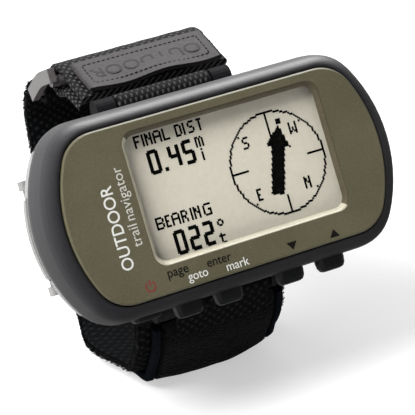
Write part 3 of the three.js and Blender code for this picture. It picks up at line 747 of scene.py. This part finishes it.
def window_rim():
    """The sloped rim round the window: pale along its left and lower sides as a painted highlight,
    and dark along the other two as painted shade."""
    w, h, r = WINDOW["width"], WINDOW["height"], WINDOW["corner"]
    profile = [(-0.06, 22.86), (0.16, 22.9), (0.36, 22.72), (0.95, 21.95), (1.0, 21.78),
               (-0.06, 21.78)]
    steps, tightening = 8, 0.6
    rings = [rounded_rectangle(w - 2 * inset, h - 2 * inset, r - tightening * inset,
                               WINDOW["x"], WINDOW["y"], steps) for inset, _ in profile]
    count = len(rings[0])
    corner = steps + 1
    # The halves meet in the middle of the lower right and of the upper left corner.
    # The painted-shade half takes the right and upper sides, and the painted-light half takes the
    # left and lower ones.
    painted_shade_from, painted_shade_to = corner // 2, corner // 2 + 2 * corner
    halves = (("window_rim_painted_shade_side", "rim_painted_shade_side", range(painted_shade_from, painted_shade_to)),
              ("window_rim_painted_lit_side", "rim_painted_lit_side", range(painted_shade_to, painted_shade_from + count)))
    for name, look, chosen in halves:
        verts, faces = [], []
        members = [i % count for i in chosen] + [(chosen[-1] + 1) % count]
        for (_, z), ring in zip(profile, rings):
            verts += [(*ring[i], z) for i in members]
        n = len(members)
        for k in range(len(profile)):
            c = ((k + 1) % len(profile)) * n
            faces += [(k * n + i, k * n + i + 1, c + i + 1, c + i) for i in range(n - 1)]
        faces.append(tuple(k * n for k in range(len(profile))))
        faces.append(tuple(k * n + n - 1 for k in reversed(range(len(profile)))))
        piece(name, verts, faces, look)


# ---------------------------------------------------------------------------
# Printing on the face
# ---------------------------------------------------------------------------
PRINT_DEPTH = 0.02
PRINT_LIFT = 0.03
MARK_BASE, MARK_TOP = FACE_Z + 0.02, FACE_Z + 0.05
SYMBOL_Z = FACE_Z + 0.04


def lettering(name, text, x, y, height, look, turn_degrees=0.0, squeeze=1.0, bold=0.0,
              matrix=None):
    """Flat printed letters, centred at x, y on the face, or placed by a matrix."""
    curve = bpy.data.curves.new(name, "FONT")
    curve.body = text
    curve.align_x = "CENTER"
    curve.align_y = "CENTER"
    curve.size = height
    curve.offset = bold
    curve.extrude = PRINT_DEPTH
    holder = add_to_scene(name + "_curve", curve)
    bpy.context.view_layer.update()
    depsgraph = bpy.context.evaluated_depsgraph_get()
    mesh = bpy.data.meshes.new_from_object(holder.evaluated_get(depsgraph))
    bpy.data.objects.remove(holder)
    place = matrix
    if place is None:
        turned = Matrix.Rotation(math.radians(turn_degrees), 4, "Z")
        place = Matrix.Translation((x, y, FACE_Z + PRINT_LIFT)) @ turned
    mesh.transform(UNIT @ Matrix.Scale(MM, 4) @ place @ Matrix.Diagonal((squeeze, 1, 1, 1)))
    mesh.materials.clear()
    mesh.materials.append(LOOKS[look])
    obj = add_to_scene(name, mesh)
    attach(obj, "case")


def flat_shape(name, outline, look):
    """A thin printed mark with the given outline, counterclockwise."""
    verts = [(x, y, z) for z in (MARK_BASE, MARK_TOP) for x, y in outline]
    count = len(outline)
    faces = [tuple(range(count, 2 * count)), tuple(reversed(range(count)))]
    faces += [(i, (i + 1) % count, count + (i + 1) % count, count + i) for i in range(count)]
    piece(name, verts, faces, look, smooth=False)


def power_symbol(x, y, radius, width):
    """An open ring with a stroke in its gap."""
    half_gap, steps, stroke = 35, 28, 1.3
    angles = [math.radians(90 + half_gap + (360 - 2 * half_gap) * k / steps)
              for k in range(steps + 1)]
    verts = [(x + reach * math.cos(a), y + reach * math.sin(a), SYMBOL_Z)
             for reach in (radius + width / 2, radius - width / 2) for a in angles]
    count = len(angles)
    faces = [(i, i + 1, count + i + 1, count + i) for i in range(count - 1)]
    at = len(verts)
    for dx, dy in ((-1, 0), (1, 0), (1, 1), (-1, 1)):
        verts.append((x + dx * width / 2, y + dy * radius * stroke, SYMBOL_Z))
    faces.append((at, at + 1, at + 2, at + 3))
    piece("power_symbol", verts, faces, "print_red", smooth=False)


# The words under the keys: name, text, x, y, size and look.
KEY_WORDS = [
    ("page_word", "page", -15.9, -14.2, 2.85, "print_dark"),
    ("goto_word", "goto", -11.75, -16.2, 2.6, "print_white"),
    ("enter_word", "enter", -6.45, -14.6, 2.75, "print_dark"),
    ("mark_word", "mark", -2.7, -16.6, 2.7, "print_white"),
]


def face_printing():
    """Key legends, the power symbol, two pointers and a generic title up the left side."""
    power_symbol(-22.5, -15.6, 1.05, 0.29)
    for name, text, x, y, size, look in KEY_WORDS:
        lettering(name, text, x, y, size, look, squeeze=0.95, bold=0.006)
    flat_shape("down_mark", [(10.5, -17.3), (11.7, -15.6), (9.3, -15.6)], "print_dark")
    flat_shape("up_mark", [(19.4, -17.4), (21.8, -17.4), (20.6, -15.7)], "print_dark")
    lettering("title_large", "OUTDOOR", -25.85, -2.3, 3.7, "print_white", 90, 0.94, 0.03)
    lettering("title_first", "trail", -22.55, -4.6, 3.1, "print_grey", 90)
    lettering("title_small", "navigator", -22.55, 4.1, 3.1, "print_grey", 90)


# ---------------------------------------------------------------------------
# Strap
# ---------------------------------------------------------------------------
LONG_THICKNESS, LONG_HALF_WIDTH = 2.4, 17.6
LONG_FUZZ_X, LONG_FUZZ_LENGTH, LONG_FUZZ_COUNT = 17.3, 0.5, 4200
EYE_THICKNESS, EYE_HALF_WIDTH = 1.3, 17.5
PAD_THICKNESS, PAD_HALF_WIDTH = 1.9, 13.8
PAD_FUZZ_X, PAD_FUZZ_OFFSET, PAD_FUZZ_LENGTH, PAD_FUZZ_COUNT = 13.7, -0.9, 0.9, 15000
BINDING_THICKNESS, BINDING_HALF_WIDTH, BINDING_X = 2.1, 0.8, 15.0
TOP_THICKNESS, TOP_HALF_WIDTH, TOP_X = 1.8, 17.6, 0.6
HOOK_THICKNESS, HOOK_HALF_WIDTH = 0.7, 15.9

# The label is a moulded tab, a little off the middle of the strap.
LABEL_X = 0.8
LABEL_THICKNESS = 1.1
WORD_LIFT = 0.56
STITCH_LIFT, STITCH_RADIUS = 0.55, 0.17
STITCH_PITCH, STITCH_GAP = 1.15, 0.14
SEAM_HALF_WIDTH, SEAM_INSET = 13.9, 1.7
STITCH_SIDES = 6
STITCH_RINGS = [(0.0, 0.35), (0.25, 1.0), (0.75, 1.0), (1.0, 0.35)]


def label_wave(along, across):
    """The label's free lower edge lifts and dips a little."""
    wave, free_length = 0.45, 5.0
    free = max(0.0, 1.0 - along / free_length)
    return wave * free * math.sin(across * 0.33 + 0.8)


def label_axes():
    """The label's upward direction and its outward normal, in the YZ plane."""
    up = (Vector(LABEL[1]) - Vector(LABEL[0])).normalized()
    out = Vector((-up.y, up.x))
    if out.dot(Vector((1, 1))) < 0:
        out = -out
    return up, out


def on_label(across, along, lift):
    """A point on the label: across the strap, and along it from its free lower edge."""
    up, out = label_axes()
    at = Vector(LABEL[0]) + up * along + out * lift
    return Vector((across, at.x, at.y))


def add_stitch(verts, faces, a, b, out):
    """A short rounded thread from a to b, half sunk in the surface."""
    along = (b - a).normalized()
    side = along.cross(out).normalized()
    at = len(verts)
    for t, swell in STITCH_RINGS:
        middle = a.lerp(b, t)
        for k in range(STITCH_SIDES):
            angle = 2 * math.pi * k / STITCH_SIDES
            spoke = side * math.cos(angle) + out * math.sin(angle)
            verts.append(middle + spoke * STITCH_RADIUS * swell)
    tube = tube_faces(len(STITCH_RINGS), STITCH_SIDES)
    faces += [tuple(at + corner for corner in face) for face in tube]


def label_stitches(length, out):
    """A seam of stitches round the label, inside its edges."""
    half, inset = SEAM_HALF_WIDTH, SEAM_INSET
    corners = [(-half, inset), (half, inset), (half, length - inset), (-half, length - inset)]
    verts, faces = [], []
    for (x0, y0), (x1, y1) in zip(corners, corners[1:] + corners[:1]):
        count = round(math.hypot(x1 - x0, y1 - y0) / STITCH_PITCH)
        for k in range(count):
            ends = []
            for t in ((k + STITCH_GAP) / count, (k + 1 - STITCH_GAP) / count):
                x, y = x0 + (x1 - x0) * t + LABEL_X, y0 + (y1 - y0) * t
                ends.append(on_label(x, y, STITCH_LIFT + label_wave(y, x)))
            add_stitch(verts, faces, *ends, out)
    piece("label_stitches", verts, faces, "thread")


def label_tab():
    """The label with its seam and a generic word pressed into it, turned half round."""
    tab = strap("label", LABEL, LABEL_THICKNESS, 16.0, "label", centre_x=LABEL_X, step=0.45,
                edge=0.45, ripple=0.02, shape=label_wave)
    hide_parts("label_tab")
    length = (Vector(LABEL[1]) - Vector(LABEL[0])).length
    up, out = (Vector((0, axis.x, axis.y)) for axis in label_axes())
    label_stitches(length, out)
    place = Matrix((Vector((-1, 0, 0)), -up, out)).transposed().to_4x4()
    place.translation = on_label(LABEL_X, length / 2 - 0.1, WORD_LIFT)
    lettering("label_word", "OUTDOOR", 0, 0, 4.6, "pressed", squeeze=1.12, bold=0.03, matrix=place)


def folds():
    """Webbing folded round the two strap bars."""
    thickness, half_width = 1.0, 11.2
    around_bar = loop_path(BAR, EYE_RADIUS, -30, 240)
    upper_piece = folded_strap("upper_webbing", [UPPER_FOLD[1], (24.3, 0.2)] + around_bar[3:],
                               thickness, half_width, "ribbed_webbing")
    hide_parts("upper_fold")
    mirrored = [(-y, z) for y, z in around_bar]
    tail = [tuple(p) for p in rounded_path(LOWER_FOLD)]
    lower_piece = folded_strap("lower_webbing", tail[::-1] + mirrored[4:], thickness, half_width,
                               "coarse_webbing")
    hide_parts("lower_fold")


def straps():
    """The long strap with its eye, pad, bindings and fuzz, and the top strap with its patch."""
    long_strap = strap("long_webbing", LONG_STRAP, LONG_THICKNESS, LONG_HALF_WIDTH,
                       "coarse_webbing", edge=0.8, ripple=0.2)
    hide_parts("long_strap")
    eye = folded_strap("long_webbing_eye", loop_path(RING_BAR, RING_EYE_RADIUS, 0, 360),
                       EYE_THICKNESS, EYE_HALF_WIDTH, "coarse_webbing")
    pad = strap("pile_pad", PAD, PAD_THICKNESS, PAD_HALF_WIDTH, "pile", ripple=0.15)
    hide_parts("strap_pad")
    for side, name in ((-1, "left"), (1, "right")):
        strip = strap(f"binding_{name}", PAD, BINDING_THICKNESS, BINDING_HALF_WIDTH, "binding",
                      centre_x=side * BINDING_X, edge=0.35, ripple=0.05)
        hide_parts(f"pad_binding_{name}")
    top = strap("top_webbing", TOP_STRAP, TOP_THICKNESS, TOP_HALF_WIDTH, "webbing",
                centre_x=TOP_X, edge=0.6, ripple=0.1)
    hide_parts("top_strap")
    hook = strap("hook_pad", HOOK_PATCH, HOOK_THICKNESS, HOOK_HALF_WIDTH, "pile",
                 centre_x=TOP_X, edge=0.2, ripple=0.03)
    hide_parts("hook_patch")
    fuzz = [surface_fuzz("pile_fuzz", PAD, PAD_FUZZ_OFFSET, [(-PAD_FUZZ_X, PAD_FUZZ_X)],
                         PAD_FUZZ_COUNT, PAD_FUZZ_LENGTH, "pile")]
    for side, name in ((-1, "left"), (1, "right")):
        fuzz.append(edge_fuzz(f"strap_fuzz_{name}", LONG_STRAP, side * LONG_FUZZ_X, side,
                              LONG_FUZZ_COUNT, LONG_FUZZ_LENGTH, LONG_THICKNESS, "pile"))


# ---------------------------------------------------------------------------
# Camera, light and floor
# ---------------------------------------------------------------------------
# The camera's axes and distance in the unit's frame, from the middle of the face plate.
VIEW_RIGHT = Vector((0.8847, -0.2806, 0.3723))
VIEW_UP = Vector((0.2673, 0.9597, 0.0881))
VIEW_BACK = Vector((-0.3819, 0.0216, 0.924))
VIEW_DISTANCE = 458.65
LENS, SENSOR = 190.4, 36.0
SHIFT_X, SHIFT_Y = -0.0459, -0.0563
FAR = 20

# Round softboxes: name, place, size, power and whether it only shows in reflections.
LIGHTS = [
    ("key_light", (-0.62, -0.10, 0.95), 0.6, 18.0, False),
    ("top_light", (0.40, 0.46, 0.85), 0.8, 19.0, True),
]
LIGHT_TARGET = (0, 0, 0.03)

# The sky is bright towards SKY_SIDE and dim away from it.
SKY_SIDE = (-0.48, 0.80, 0.35)
SKY_FROM, SKY_DIM, SKY_BRIGHT = -0.25, 0.15, 1.4

FLOOR_REACH = 3.0
FLOOR_GREY, FLOOR_ROUGHNESS, FLOOR_GLOW = 0.62, 0.9, 0.5


def camera():
    data = bpy.data.cameras.new("camera")
    data.lens = LENS
    data.sensor_width = SENSOR
    data.shift_x = SHIFT_X
    data.shift_y = SHIFT_Y
    data.clip_end = FAR
    obj = add_to_scene("camera", data)
    axes = Matrix((VIEW_RIGHT, VIEW_UP, VIEW_BACK)).transposed().to_4x4()
    axes.translation = (Vector((0, 0, FACE_Z)) + VIEW_BACK * VIEW_DISTANCE) * MM
    obj.matrix_world = UNIT @ axes
    bpy.context.scene.camera = obj


def area_light(name, place, size, power, sheen):
    """A round softbox: with sheen it only shows in reflections, without it only lights."""
    data = bpy.data.lights.new(name, "AREA")
    data.shape = "DISK"
    data.size = size
    data.energy = power
    obj = add_to_scene(name, data)
    obj.location = place
    aim = Vector(LIGHT_TARGET) - Vector(place)
    obj.rotation_euler = aim.to_track_quat("-Z", "Y").to_euler()
    obj.visible_diffuse = not sheen
    obj.visible_glossy = sheen


def studio_sky():
    """A soft room: bright behind and to the left, and dim in front, so that faces turned to
    the front stay deep."""
    scene = bpy.context.scene
    world = scene.world or bpy.data.worlds.new("world")
    scene.world = world
    world.use_nodes = True
    tree = world.node_tree
    background = tree.nodes["Background"]
    place = tree.nodes.new("ShaderNodeTexCoord")
    facing = tree.nodes.new("ShaderNodeVectorMath")
    facing.operation = "DOT_PRODUCT"
    facing.inputs[1].default_value = SKY_SIDE
    spread = tree.nodes.new("ShaderNodeMapRange")
    spread.inputs["From Min"].default_value = SKY_FROM
    spread.inputs["To Min"].default_value = SKY_DIM
    spread.inputs["To Max"].default_value = SKY_BRIGHT
    tree.links.new(place.outputs["Generated"], facing.inputs[0])
    tree.links.new(facing.outputs["Value"], spread.inputs["Value"])
    tree.links.new(spread.outputs["Result"], background.inputs["Strength"])
    background.inputs["Color"].default_value = (1, 1, 1, 1)


def stage():
    """A pale floor, the sky and the lights."""
    mesh = bpy.data.meshes.new("floor")
    corners = ((-1, -1), (1, -1), (1, 1), (-1, 1))
    points = [(x * FLOOR_REACH, y * FLOOR_REACH, 0) for x, y in corners]
    mesh.from_pydata(points, [], [(0, 1, 2, 3)])
    floor = add_to_scene("floor", mesh)
    mesh.materials.append(new_material("floor", (FLOOR_GREY,) * 3, FLOOR_ROUGHNESS,
                                       Emission_Color=(1, 1, 1, 1), Emission_Strength=FLOOR_GLOW,
                                       Specular_IOR_Level=0.0))
    floor.visible_glossy = False
    studio_sky()
    bpy.context.scene.view_settings.view_transform = "Standard"
    for light in LIGHTS:
        area_light(*light)


camera()
dress_cad_nodes()
display_picture()
window_rim()
face_printing()
straps()
folds()
label_tab()
stage()
